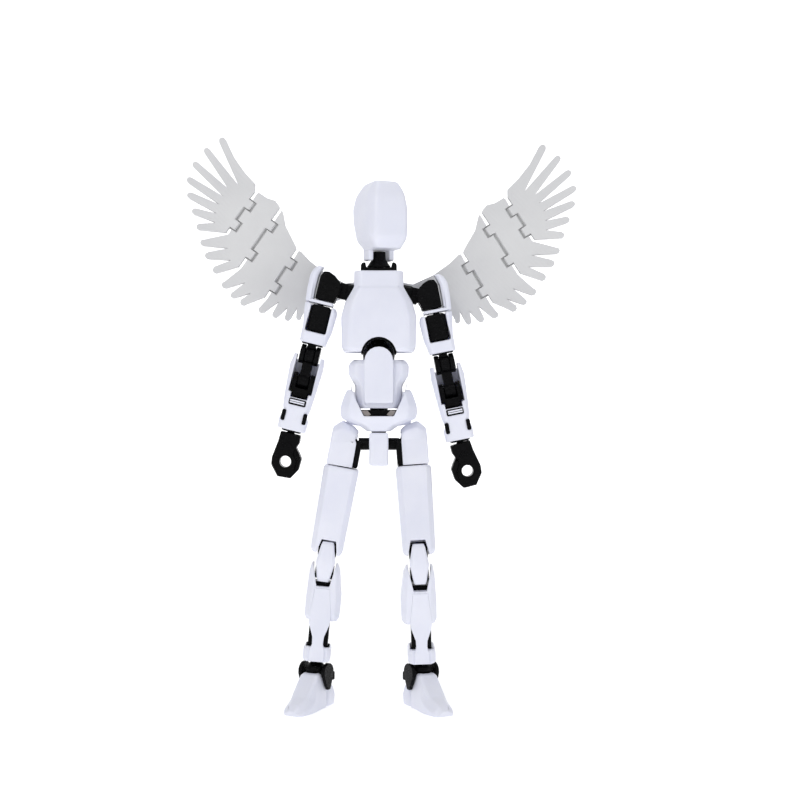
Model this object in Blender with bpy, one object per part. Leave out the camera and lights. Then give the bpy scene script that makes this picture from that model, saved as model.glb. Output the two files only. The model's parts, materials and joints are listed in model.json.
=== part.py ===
"""Humanoid robot kit with folding wings: white armour shells on a black jointed skeleton.

The figure stands on the floor at Z = 0 and faces -Y, so its right side is on -X.
Dimensions are millimetres and degrees in this file and become metres when a mesh is
placed. Every moving piece hangs from an empty on its joint axis. Inside a limb's frame,
+X is turned to point outward, away from the body, so that one set of dimensions serves
both sides.
"""

import math

import bmesh
import bpy
from mathutils import Matrix, Vector

MM = 0.001
GAP = 0.3
SIDES = {"right": -1, "left": 1}

# The origin lies on the floor, under the middle of the whole figure
SOLE_DEPTH = 1.0
FIGURE_PLACE = (-0.72, 0.86, SOLE_DEPTH)

# Heights of the trunk's joints above a datum plane that lies SOLE_DEPTH above the floor
HIP_HEIGHT = 68.0
WAIST_TURN_HEIGHT = 76.6
WAIST_BEND_HEIGHT = 91.2
SHOULDER_HEIGHT = 107.4
NECK_HEIGHT = 114.4
HEAD_NOD_HEIGHT = 117.8

# Distances from the middle plane
HIP_SPACING = 8.3
SHOULDER_SPACING = 6.5
WING_ROOT_SPACING = 3.6
WING_PLANE = 9.4

# Lengths along the limbs
SHOULDER_LINK = 4.9
ARM_OFFSET = 2.5
BICEP_DROP = 5.0
ELBOW_UPPER_DROP = 18.2
ELBOW_LOWER_DROP = 25.2
WRIST_DROP = 37.2
HAND_DROP = 39.9
GRIP_RADIUS = 1.5
THIGH_TURN_DROP = 6.1
KNEE_UPPER_DROP = 28.0
KNEE_LINK = 6.0
SHIN_LENGTH = 25.8

# The stance that the figure rests in, in degrees
HEAD_YAW = 22.0
SHOULDER_RISE = {"right": 11.0, "left": -13.0}
ARM_TILT = {"right": 13.8, "left": 11.3}
HAND_TILT = {"right": 0.0, "left": 6.5}
THIGH_TILT = {"right": 10.5, "left": 3.9}
KNEE_TILT = {"right": 8.0, "left": 2.9}
SHIN_TILT = {"right": 5.2, "left": 1.8}
TOE_OUT = 28.0
WINGS_ROLL = 1.4

# The head's cheeks run back by this share of its depth, for each millimetre that they stand
# out. The nape's facets run forward by NAPE_SLOPE for each millimetre, past a step of NAPE_STEP.
CHEEK_SLOPE = 0.158
NAPE_SLOPE = 0.45
NAPE_STEP = 1.5

# Wing plates; WING_SPREAD stretches their outlines outward
WING_SPREAD = 1.023
WING_THICKNESS = 1.8
HINGE_OVERHANG = 1.0
EDGE_RELIEF = 0.35
TAB_HALF = 1.2
WING_JOINT_HEIGHT = 108.0

FINISHES = {
    "armor": ((0.80, 0.81, 0.90, 1.0), 0.30),
    "frame": ((0.012, 0.012, 0.013, 1.0), 0.28),
    "wing": ((0.62, 0.62, 0.63, 1.0), 0.55),
}


# ---------------------------------------------------------------- scene and frames

def clear_scene():
    for obj in list(bpy.data.objects):
        bpy.data.objects.remove(obj, do_unlink=True)


def new_collection(name):
    collection = bpy.data.collections.new(name)
    bpy.context.scene.collection.children.link(collection)
    return collection


def turn(axis, degrees):
    return Matrix.Rotation(math.radians(degrees), 4, axis)


def add_frame(name, parent, place, *turns):
    """An empty at place in its parent's frame, turned by the given matrices in order."""
    empty = bpy.data.objects.new(f"{name}_joint", None)
    empty.empty_display_size = 0.004
    FIGURE.objects.link(empty)
    local = Matrix.Translation(Vector(place) * MM)
    for matrix in turns:
        local = local @ matrix
    world = local
    if parent:
        empty.parent = FRAMES[parent]
        world = WORLD[parent] @ local
    empty.matrix_local = local
    FRAMES[name] = empty
    WORLD[name] = world


# ---------------------------------------------------------------- shapes, in millimetres

def box(x0, x1, y0, y1, z0, z1, bevel=0.0):
    shape = bmesh.new()
    size = Matrix.Diagonal((x1 - x0, y1 - y0, z1 - z0, 1.0))
    centre = Matrix.Translation(((x0 + x1) / 2, (y0 + y1) / 2, (z0 + z1) / 2))
    bmesh.ops.create_cube(shape, size=1.0, matrix=centre @ size)
    if bevel:
        bmesh.ops.bevel(shape, geom=shape.edges, offset=bevel, segments=1, affect="EDGES")
    return shape


def rod(axis, radius, start, end, at=(0.0, 0.0), sides=12, end_radius=None):
    """A cylinder or cone along X, Y or Z; at gives its other two coordinates in order."""
    shape = bmesh.new()
    bmesh.ops.create_cone(
        shape, cap_ends=True, segments=sides, radius1=radius,
        radius2=radius if end_radius is None else end_radius, depth=end - start,
    )
    bmesh.ops.rotate(shape, verts=shape.verts, matrix=Matrix.Rotation(math.pi / sides, 3, "Z"))
    middle = (start + end) / 2
    if axis == "X":
        matrix = Matrix.Translation((middle, at[0], at[1])) @ turn("Y", 90)
    elif axis == "Y":
        matrix = Matrix.Translation((at[0], middle, at[1])) @ turn("X", -90)
    else:
        matrix = Matrix.Translation((at[0], at[1], middle))
    bmesh.ops.transform(shape, verts=shape.verts, matrix=matrix)
    return shape


def ball(radius, centre, segments=12, rings=8):
    shape = bmesh.new()
    bmesh.ops.create_uvsphere(
        shape, u_segments=segments, v_segments=rings, radius=radius,
        matrix=Matrix.Translation(centre),
    )
    return shape


def prism(outline, start, end, axis="Y"):
    """A flat outline of (across, height) points, given thickness along Y or along X."""
    curve = bpy.data.curves.new("outline", "CURVE")
    curve.dimensions = "2D"
    curve.fill_mode = "BOTH"
    curve.extrude = (end - start) / 2
    spline = curve.splines.new("POLY")
    spline.points.add(len(outline) - 1)
    for point, (across, height) in zip(spline.points, outline):
        point.co = (across, height, 0.0, 1.0)
    spline.use_cyclic_u = True
    guide = bpy.data.objects.new("outline", curve)
    TOOLS.objects.link(guide)
    graph = bpy.context.evaluated_depsgraph_get()
    mesh = bpy.data.meshes.new_from_object(guide.evaluated_get(graph))
    shape = bmesh.new()
    shape.from_mesh(mesh)
    bmesh.ops.remove_doubles(shape, verts=shape.verts, dist=1e-4)
    matrix = Matrix.Translation((0, (start + end) / 2, 0)) @ turn("X", 90)
    if axis == "X":
        matrix = turn("Z", 90) @ Matrix.Translation((0, -(start + end) / 2, 0)) @ turn("X", 90)
    bmesh.ops.transform(shape, verts=shape.verts, matrix=matrix)
    bpy.data.objects.remove(guide, do_unlink=True)
    bpy.data.curves.remove(curve)
    bpy.data.meshes.remove(mesh)
    return shape


def section(z, x0, x1, y0, y1, corner):
    """A rectangle with cut corners at height z, as eight points."""
    return [
        (x0 + corner, y0, z), (x1 - corner, y0, z), (x1, y0 + corner, z), (x1, y1 - corner, z),
        (x1 - corner, y1, z), (x0 + corner, y1, z), (x0, y1 - corner, z), (x0, y0 + corner, z),
    ]


def loft(sections):
    """A closed skin over sections that have the same number of points."""
    shape = bmesh.new()
    rows = [[shape.verts.new(point) for point in points] for points in sections]
    for lower, upper in zip(rows, rows[1:]):
        for index in range(len(lower)):
            after = (index + 1) % len(lower)
            shape.faces.new((lower[index], lower[after], upper[after], upper[index]))
    shape.faces.new(rows[0])
    shape.faces.new(rows[-1])
    return shape


def arc(centre, radius, start, end, steps):
    """Points along an arc, from start to end degrees."""
    angles = [math.radians(start + (end - start) * step / steps) for step in range(steps + 1)]
    return [(centre[0] + radius * math.cos(a), centre[1] + radius * math.sin(a)) for a in angles]


# ---------------------------------------------------------------- nodes

def place(name, shape, frame, collection, side):
    """Makes an object of a shape, mirrored for the right side, in its frame."""
    scale = Matrix.Diagonal((side * MM, MM, MM, 1.0))
    bmesh.ops.transform(shape, verts=shape.verts, matrix=scale)
    bmesh.ops.recalc_face_normals(shape, faces=shape.faces)
    mesh = bpy.data.meshes.new(name)
    shape.to_mesh(mesh)
    shape.free()
    mesh.shade_smooth()
    mesh.set_sharp_from_angle(angle=math.radians(35))
    obj = bpy.data.objects.new(name, mesh)
    collection.objects.link(obj)
    obj.parent = FRAMES[frame]
    return obj


def add_node(name, frame, finish, base, add=(), cut=(), side=1):
    """A sub-part: a base shape, joined with the added shapes, less the cut ones."""
    part = place(name, base, frame, FIGURE, side)
    colour, roughness = FINISHES[finish]
    material = bpy.data.materials.new(f"{name}_plastic")
    material.use_nodes = True
    shader = material.node_tree.nodes["Principled BSDF"]
    shader.inputs["Base Color"].default_value = colour
    shader.inputs["Roughness"].default_value = roughness
    shader.inputs["Metallic"].default_value = 0.0
    material.diffuse_color = colour
    part.data.materials.append(material)
    steps = [("UNION", shape) for shape in add] + [("DIFFERENCE", shape) for shape in cut]
    for number, (operation, shape) in enumerate(steps):
        tool = place(f"{name}_tool_{number}", shape, frame, TOOLS, side)
        tool.hide_render = True
        tool.display_type = "WIRE"
        modifier = part.modifiers.new(f"{operation.lower()}_{number}", "BOOLEAN")
        modifier.operation = operation
        modifier.solver = "EXACT"
        modifier.object = tool
    return part


# ---------------------------------------------------------------- the skeleton of frames

def leg_steps(side, bend):
    """The moves from the hip down to the ankle, with the knee bent by twice bend."""
    sign = SIDES[side]
    down = [Matrix.Translation((0, 0, -drop)) for drop in (KNEE_UPPER_DROP, KNEE_LINK, SHIN_LENGTH)]
    return [
        turn("X", -bend) @ turn("Y", -sign * THIGH_TILT[side]) @ down[0],
        turn("Y", sign * (THIGH_TILT[side] - KNEE_TILT[side])) @ turn("X", bend) @ down[1],
        turn("Y", sign * (KNEE_TILT[side] - SHIN_TILT[side])) @ turn("X", bend) @ down[2],
    ]


def leg_drop(side, bend):
    thigh, knee, shin = leg_steps(side, bend)
    return -(thigh @ knee @ shin).translation.z


def knee_bend():
    """The more upright left leg bends at the knee, so that both soles stand level."""
    low, high = 0.0, 20.0
    for _ in range(40):
        middle = (low + high) / 2
        if leg_drop("left", middle) > leg_drop("right", 0.0):
            low = middle
        else:
            high = middle
    return (low + high) / 2


def level_with(frame):
    """The turn that stands a frame upright again inside its parent."""
    return WORLD[frame].to_3x3().inverted().to_4x4()


def add_frames():
    add_frame("figure", None, FIGURE_PLACE)
    add_frame("pelvis", "figure", (0, 0, HIP_HEIGHT))
    add_frame("abdomen", "pelvis", (0, 0, WAIST_TURN_HEIGHT - HIP_HEIGHT))
    add_frame("chest", "abdomen", (0, 0, WAIST_BEND_HEIGHT - WAIST_TURN_HEIGHT))
    add_frame("neck", "chest", (0, 0, NECK_HEIGHT - WAIST_BEND_HEIGHT), turn("Z", HEAD_YAW))
    add_frame("head", "neck", (0, 0, HEAD_NOD_HEIGHT - NECK_HEIGHT))
    for side, sign in SIDES.items():
        add_arm_frames(side, sign)
        add_leg_frames(side, sign)
        add_wing_frames(side, sign)


def add_arm_frames(side, sign):
    rise = SHOULDER_RISE[side]
    reach = (sign * SHOULDER_SPACING, 0, SHOULDER_HEIGHT - WAIST_BEND_HEIGHT)
    add_frame(f"shoulder_{side}", "chest", reach, turn("Y", -sign * rise))
    add_frame(
        f"upper_arm_{side}", f"shoulder_{side}", (sign * SHOULDER_LINK, 0, 0),
        turn("Y", -sign * (ARM_TILT[side] - rise)),
    )
    offset = sign * ARM_OFFSET
    add_frame(f"bicep_{side}", f"upper_arm_{side}", (offset, 0, -BICEP_DROP))
    add_frame(f"elbow_{side}", f"bicep_{side}", (0, 0, BICEP_DROP - ELBOW_UPPER_DROP))
    add_frame(f"forearm_{side}", f"elbow_{side}", (0, 0, ELBOW_UPPER_DROP - ELBOW_LOWER_DROP))
    add_frame(f"wrist_{side}", f"forearm_{side}", (0, 0, ELBOW_LOWER_DROP - WRIST_DROP))
    add_frame(
        f"hand_{side}", f"wrist_{side}", (0, 0, WRIST_DROP - HAND_DROP),
        turn("Y", -sign * HAND_TILT[side]),
    )


def add_leg_frames(side, sign):
    bend = knee_bend() if side == "left" else 0.0
    add_frame(f"hip_{side}", "pelvis", (sign * HIP_SPACING, 0, 0), turn("X", -bend))
    add_frame(f"thigh_{side}", f"hip_{side}", (0, 0, 0), turn("Y", -sign * THIGH_TILT[side]))
    add_frame(f"thigh_low_{side}", f"thigh_{side}", (0, 0, -THIGH_TURN_DROP))
    add_frame(
        f"knee_{side}", f"thigh_low_{side}", (0, 0, THIGH_TURN_DROP - KNEE_UPPER_DROP),
        turn("Y", sign * (THIGH_TILT[side] - KNEE_TILT[side])), turn("X", bend),
    )
    add_frame(
        f"shin_{side}", f"knee_{side}", (0, 0, -KNEE_LINK),
        turn("Y", sign * (KNEE_TILT[side] - SHIN_TILT[side])), turn("X", bend),
    )
    place_of_ankle = (0, 0, -SHIN_LENGTH)
    level = level_with(f"shin_{side}")
    add_frame(f"ankle_{side}", f"shin_{side}", place_of_ankle, level, turn("Z", sign * TOE_OUT))
    add_frame(f"foot_{side}", f"ankle_{side}", (0, 0, 0))


# ---------------------------------------------------------------- trunk

def trunk_section(height, half_width, front, back, corner, frame_height):
    return section(height - frame_height, -half_width, half_width, front, back, corner)


def add_pelvis():
    base = HIP_HEIGHT
    outer = [
        (71.3, 3.0, -4.2, 3.8, 1.2), (72.9, 5.3, -5.0, 4.5, 1.8), (74.6, 9.6, -5.9, 5.3, 2.4),
        (76.0, 10.0, -6.2, 5.6, 2.4),
        (78.0, 9.9, -6.2, 5.6, 2.2), (80.6, 9.0, -5.9, 5.4, 2.0), (82.2, 8.2, -5.6, 5.2, 1.8),
    ]
    bowl = [
        (74.0, 5.0, -3.4, 3.2, 1.2), (77.4, 6.4, -4.8, 4.5, 1.8), (83.0, 7.1, -4.9, 4.6, 1.8),
    ]
    neckline = [
        (-7.3, 83.5), (-6.9, 81.6), (-3.9, 75.3), (3.9, 75.3), (6.9, 81.6), (7.3, 83.5),
    ]
    neckline = [(across, height - base) for across, height in neckline]
    add_node(
        "pelvis_armor", "pelvis", "armor", loft([trunk_section(*row, base) for row in outer]),
        cut=(
            loft([trunk_section(*row, base) for row in bowl]),
            prism(neckline, -8, 8),
            box(-2.2, 2.2, -1.9, 1.9, 2.0, 8.0),
        ),
    )
    add_node(
        "pelvis_frame", "pelvis", "frame",
        rod("X", 1.65, -5.3, 5.3, sides=10),
        add=(
            box(-1.9, 1.9, -1.6, 1.6, -1.8, 7.0, 0.3),
            rod("Z", 2.6, 6.3, 8.2, sides=12),
        ),
    )
    add_node(
        "crotch_flap", "pelvis", "armor",
        box(-2.5, 2.5, -4.5, -3.3, -5.6, 3.0, 0.4),
        add=(box(-1.6, 1.6, -3.6, -2.0, 0.2, 1.8, 0.2),),
    )


def add_abdomen():
    base = WAIST_TURN_HEIGHT
    body = [
        (77.3, 5.0, -4.1, 3.9, 1.3), (78.2, 5.6, -4.3, 4.1, 1.5), (81.5, 6.2, -4.6, 4.4, 1.7),
        (83.2, 6.1, -4.6, 4.4, 1.7), (85.8, 7.8, -4.4, 4.2, 1.8), (88.7, 7.9, -4.2, 4.0, 1.8),
        (90.0, 6.7, -3.6, 3.4, 1.4),
    ]
    column = [(-3.7, 78.6), (3.7, 78.6)] + arc((0, 89.6), 3.7, 0, 180, 10)
    column = [(across, height - base) for across, height in column]
    socket = WAIST_BEND_HEIGHT - base
    add_node(
        "abdomen_armor", "abdomen", "armor",
        loft([trunk_section(*row, base) for row in body]),
        add=(prism(column, -6.1, -3.4),),
        cut=(
            ball(4.75, (0, 0, socket), 16, 10),
            rod("Z", 2.9, -1.0, 12.0, sides=12),
        ),
    )
    add_node(
        "abdomen_frame", "abdomen", "frame",
        ball(4.3, (0, 0, socket), 16, 10),
        add=(rod("Z", 2.4, 0.2, 12.0, sides=12),),
    )


def add_chest():
    base = WAIST_BEND_HEIGHT
    outer = [
        (91.9, 9.0, -5.9, 5.0, 1.6), (93.0, 9.6, -6.3, 5.4, 1.8), (101.1, 9.8, -6.6, 5.8, 2.2),
        (104.9, 8.7, -6.2, 5.6, 2.0), (108.4, 6.7, -5.5, 5.1, 1.7), (108.9, 6.45, -5.2, 5.0, 1.5),
        (112.8, 6.4, -4.6, 4.5, 1.4), (113.1, 6.1, -4.3, 4.2, 1.3),
    ]
    hollow = [
        (91.0, 8.1, -5.0, 4.2, 1.3), (101.0, 8.3, -5.2, 4.5, 1.5), (105.0, 7.2, -4.8, 4.3, 1.4),
        (108.6, 5.1, -4.1, 3.8, 0.4), (114.0, 5.1, -3.2, 3.2, 0.4),
    ]
    for name, y0, y1 in (("chest_front_armor", -0.15, 9.0), ("chest_back_armor", -9.0, 0.15)):
        shell = loft([trunk_section(*row, base) for row in outer])
        wing_lug = ()
        if name == "chest_back_armor":
            wing_lug = (box(-2.3, 2.3, 4.6, WING_PLANE + 0.9, 12.6, 20.6, 0.4),)
        add_node(
            name, "chest", "armor", shell, add=wing_lug,
            cut=(
                loft([trunk_section(*row, base) for row in hollow]),
                rod("Y", 4.6, -9.0, 9.0, sides=24),
                rod("X", 3.4, -12.0, 12.0, (0.0, SHOULDER_HEIGHT - base), sides=16),
                box(-12, 12, y0, y1, -2.0, 24.0),
            ),
        )
    collar = [
        (-4.7, 109.5), (4.7, 109.5), (4.7, 114.7), (4.3, 115.3), (3.5, 115.4), (3.2, 114.0),
        (-3.2, 114.0), (-3.5, 115.4), (-4.3, 115.3), (-4.7, 114.7),
    ]
    collar = [(across, height - base) for across, height in collar]
    add_node(
        "chest_frame", "chest", "frame", prism(collar, -2.8, 2.8),
        add=(
            box(-3.0, 3.0, -2.5, 2.5, 5.2, 19.0),
            box(-4.3, 4.3, -2.2, 2.2, 14.0, 18.6),
        ),
        cut=(rod("Z", 1.6, 19.8, 24.0, sides=12),),
    )


def add_head():
    add_node(
        "neck_link", "neck", "frame",
        loft([
            section(0.0, -2.8, 2.8, -2.3, 2.3, 0.8), section(0.7, -2.6, 2.6, -2.3, 2.3, 0.8),
            section(1.3, -1.9, 1.9, -1.8, 1.8, 0.5), section(3.9, -1.8, 1.8, -1.6, 1.6, 0.5),
        ]),
        add=(rod("Z", 1.2, -2.6, 0.6, sides=12),),
    )
    rows = [
        # height, half-width, front, back, half-width of the face panel and of the rear panel
        (118.6, 3.7, -7.0, 3.4, 3.1, 2.2), (121.2, 5.2, -8.8, 5.6, 4.3, 3.0),
        (126.0, 5.55, -8.9, 7.0, 4.4, 3.4), (129.6, 5.6, -8.8, 7.3, 4.35, 3.5),
        (133.0, 5.1, -7.9, 6.3, 3.9, 3.2), (135.6, 3.6, -6.2, 4.6, 2.9, 2.4),
        (136.2, 3.0, -5.4, 3.6, 2.4, 2.0),
    ]
    skin = []
    for height, half, front, back, face, rear in rows:
        z = height - HEAD_NOD_HEIGHT
        cheek = front + CHEEK_SLOPE * (back - front) * (half - face)
        nape = back - NAPE_SLOPE * (half - rear) - NAPE_STEP
        skin.append([
            (-face, front, z), (face, front, z), (half, cheek, z), (half, nape, z),
            (rear, back, z), (-rear, back, z), (-half, nape, z), (-half, cheek, z),
        ])
    lugs = [box(x0, x1, -2.0, 2.2, -1.9, 2.4, 0.3) for x0, x1 in ((-3.6, -2.2), (2.2, 3.6))]
    add_node("head_shell", "head", "armor", loft(skin), add=lugs)


# ---------------------------------------------------------------- arms

def add_arm(side, sign):
    add_node(
        f"clavicle_link_{side}", f"shoulder_{side}", "frame",
        rod("X", 2.4, -0.9, 1.9, sides=12),
        add=(
            box(1.5, 3.9, -1.2, 1.2, -2.1, 2.1),
            box(3.0, SHOULDER_LINK, -1.2, 1.2, -1.6, 1.6),
            rod("Y", 1.7, -1.2, 1.2, (SHOULDER_LINK, 0.0), sides=12),
        ),
        side=sign,
    )
    block = [
        (-0.6, -3.5), (4.6, -3.5), (4.6, 2.6), (3.9, 3.9), (2.6, 4.1), (0.9, 3.4), (-0.8, 2.1),
        (-1.3, 1.1), (-1.2, -1.2), (-0.8, -2.0),
    ]
    add_node(
        f"upper_arm_frame_{side}", f"upper_arm_{side}", "frame", prism(block, -2.8, 2.8),
        add=(rod("Z", 1.3, -8.4, -3.0, (ARM_OFFSET, 0.0), sides=10),),
        cut=(box(-4.0, 2.1, -1.5, 1.5, -6.0, 6.0),),
        side=sign,
    )
    pauldron = [
        section(-4.6, 4.9, 6.9, -3.3, 3.3, 0.6), section(-1.5, 5.1, 7.2, -3.4, 3.4, 0.7),
        section(2.4, 5.1, 7.3, -3.3, 3.3, 0.7), section(4.2, 4.6, 6.7, -2.6, 2.6, 0.7),
        section(5.1, 4.2, 5.8, -1.7, 1.7, 0.6),
    ]
    band = box(-0.4, 5.6, -3.3, 3.3, -4.6, -3.8)
    add_node(
        f"shoulder_armor_{side}", f"upper_arm_{side}", "armor", loft(pauldron),
        add=(band,),
        cut=(rod("Z", 1.6, -6.0, -2.0, (ARM_OFFSET, 0.0), sides=12),),
        side=sign,
    )
    add_bicep(side, sign)
    add_forearm(side, sign)
    add_hand(side, sign)


def add_bicep(side, sign):
    low = BICEP_DROP - ELBOW_UPPER_DROP
    add_node(
        f"bicep_frame_{side}", f"bicep_{side}", "frame",
        box(-2.6, 2.3, -3.3, 2.8, -6.9, 0.0, 0.4),
        add=(
            box(-1.1, 1.1, -1.4, 1.4, low, -6.0),
            rod("X", 1.7, -1.0, 1.0, (0.0, low), sides=12),
        ),
        cut=(rod("Z", 1.6, -3.7, 1.0, sides=12),),
        side=sign,
    )
    shell = [
        section(-10.2, -3.4, 3.4, -3.6, 3.4, 0.7), section(-6.0, -4.2, 3.5, -3.9, 3.7, 0.8),
        section(-1.2, -4.4, 4.2, -3.9, 3.7, 0.8), section(0.0, -3.9, 4.4, -3.6, 3.5, 0.8),
    ]
    add_node(
        f"bicep_armor_{side}", f"bicep_{side}", "armor", loft(shell),
        cut=(
            box(-2.9, 2.6, -6.0, 3.1, -7.2, 2.0),
            box(-1.4, 1.4, -2.0, 2.0, -12.0, -6.0),
        ),
        side=sign,
    )


def add_forearm(side, sign):
    link = ELBOW_UPPER_DROP - ELBOW_LOWER_DROP
    add_node(
        f"elbow_link_{side}", f"elbow_{side}", "frame",
        rod("X", 2.6, -2.6, 2.6, sides=12),
        add=(
            box(-1.3, 1.3, -1.3, 1.3, link, -2.2),
            rod("X", 1.6, -1.4, 1.4, (0.0, link), sides=12),
        ),
        cut=(box(-1.35, 1.35, -4.0, 1.9, -2.0, 4.0),),
        side=sign,
    )
    add_node(
        f"forearm_frame_{side}", f"forearm_{side}", "frame",
        rod("X", 2.1, -2.8, 2.8, sides=12),
        add=(
            box(-2.8, 2.8, -2.1, 2.1, -3.0, 0.0),
            box(-2.0, 2.0, -2.1, 2.1, -4.4, -2.8),
            box(-1.3, 1.3, -1.3, 1.3, -9.6, -4.0),
        ),
        cut=(box(-1.7, 1.7, -4.0, 1.75, -2.0, 4.0),),
        side=sign,
    )
    shell = [
        section(-13.2, -3.7, 3.7, -3.2, 3.0, 0.8), section(-10.2, -3.8, 3.8, -3.4, 3.2, 0.8),
        section(-9.2, -3.0, 3.0, -3.4, 3.2, 0.8), section(-7.2, -3.6, 3.6, -3.6, 3.4, 0.9),
        section(-4.4, -3.8, 3.9, -3.8, 3.7, 0.9), section(3.6, -4.3, 4.4, -3.4, 4.0, 0.9),
        section(6.7, -4.1, 3.9, -2.4, 3.6, 0.6),
    ]
    add_node(
        f"forearm_armor_{side}", f"forearm_{side}", "armor", loft(shell),
        cut=(
            box(-3.1, 3.1, -6.0, 2.5, -3.3, 8.0),
            box(-3.1, 3.1, -6.0, 3.0, 1.0, 8.0),
            box(-5.0, 5.0, 1.8, 6.0, 5.4, 8.0),
            box(-2.3, 2.3, -6.0, 2.5, -4.7, -3.0),
            rod("Z", 2.2, -14.0, -3.0, sides=12),
        ),
        side=sign,
    )


def add_hand(side, sign):
    add_node(
        f"wrist_link_{side}", f"wrist_{side}", "frame",
        rod("Z", 1.8, -0.7, 1.5, sides=12),
        add=(
            rod("Z", 0.8, -1.7, -0.7, sides=12, end_radius=1.8),
            rod("Z", 0.7, WRIST_DROP - HAND_DROP, -1.5, sides=12),
            ball(1.35, (0, 0, WRIST_DROP - HAND_DROP), 12, 8),
        ),
        side=sign,
    )
    palm = [
        (-2.8, 0.7), (2.5, 0.7), (2.6, -2.0), (3.2, -6.5), (2.9, -8.4), (0.6, -11.0),
        (-2.8, -10.8), (-4.3, -8.2), (-4.4, -5.2), (-3.4, -3.8), (-2.4, -2.6), (-2.9, -1.4),
    ]
    add_node(
        f"hand_{side}", f"hand_{side}", "frame", prism(palm, -2.3, 2.3),
        cut=(
            ball(1.55, (0, 0, 0), 12, 8),
            rod("Y", GRIP_RADIUS, -4.0, 4.0, (-0.5, -6.8), sides=24),
        ),
        side=sign,
    )


# ---------------------------------------------------------------- legs

def add_leg(side, sign):
    add_node(
        f"hip_link_{side}", f"hip_{side}", "frame",
        rod("X", 1.65, -2.7, -1.6, sides=12),
        add=(
            box(-2.0, 0.0, -1.6, 1.6, -1.5, 1.5),
            rod("Y", 1.9, -1.9, 1.9, sides=12),
        ),
        side=sign,
    )
    add_node(
        f"thigh_frame_{side}", f"thigh_{side}", "frame",
        box(-3.8, 2.5, -3.0, 3.0, -5.8, 1.3),
        add=(rod("Z", 1.6, -12.0, -5.0, sides=12),),
        cut=(box(-5.0, 4.0, -2.2, 2.2, -3.4, 3.0),),
        side=sign,
    )
    add_thigh_armor(side, sign)
    add_knee(side, sign)
    add_shin(side, sign)
    add_foot(side, sign)


def add_thigh_armor(side, sign):
    # A dome about the hip's swing axis, so that the thigh swings forward under the pelvis
    dome = [
        (-2.4, 3.5, 3.5), (-1.2, 4.4, 4.0), (2.2, 5.3, 4.3), (4.35, 3.6, 4.2),
    ]
    rows = []
    for x, top, half in dome:
        rows.append([
            (x, -half, -5.8), (x, -half, 0.4), (x, -half * 0.84, top * 0.66),
            (x, -half * 0.4, top), (x, half * 0.4, top), (x, half * 0.84, top * 0.66),
            (x, half, 0.4), (x, half, -5.8),
        ])
    add_node(
        f"thigh_upper_armor_{side}", f"thigh_{side}", "armor", loft(rows),
        cut=(
            box(-5.0, 2.8, -3.3, 3.3, -7.0, 1.7),
            box(-5.0, 2.8, -2.5, 2.5, -7.0, 2.9),
        ),
        side=sign,
    )
    low = THIGH_TURN_DROP - KNEE_UPPER_DROP
    shell = [
        section(low - 1.0, -3.4, 3.8, -3.9, 2.6, 1.0), section(low, -4.0, 4.4, -4.4, 3.8, 1.2),
        section(low + 8.0, -4.1, 4.6, -4.6, 4.4, 1.4), section(-0.6, -4.35, 4.9, -4.6, 4.4, 1.4),
        section(0.0, -4.0, 4.5, -4.3, 4.1, 1.2),
    ]
    notch = [
        (-1.9, low + 2.6), (1.9, low + 2.6), (2.7, low - 1.0), (2.7, low - 3.0),
        (-2.7, low - 3.0), (-2.7, low - 1.0),
    ]
    add_node(
        f"thigh_lower_armor_{side}", f"thigh_low_{side}", "armor", loft(shell),
        cut=(
            rod("Z", 2.0, -6.3, 1.0, sides=12),
            prism(notch, -8.0, -1.0),
            box(-2.6, 2.6, -2.6, 6.0, low - 4.0, low + 2.4),
        ),
        side=sign,
    )


def add_knee(side, sign):
    add_node(
        f"knee_link_{side}", f"knee_{side}", "frame",
        rod("X", 1.9, -2.4, 2.4, sides=12),
        add=(
            box(-2.3, 2.3, -1.9, 1.4, -KNEE_LINK, 0.0),
            rod("X", 1.9, -2.4, 2.4, (0.0, -KNEE_LINK), sides=12),
        ),
        side=sign,
    )
    cap = [
        section(-8.2, -1.4, 1.4, -3.9, -2.9, 0.3), section(-7.4, -1.7, 1.7, -4.4, -2.9, 0.4),
        section(-3.0, -2.5, 2.5, -5.2, -2.3, 0.6), section(1.4, -1.7, 1.7, -4.8, -2.3, 0.4),
        section(2.2, -1.4, 1.4, -4.2, -2.3, 0.3),
    ]
    add_node(f"kneecap_{side}", f"knee_{side}", "armor", loft(cap), side=sign)


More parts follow.
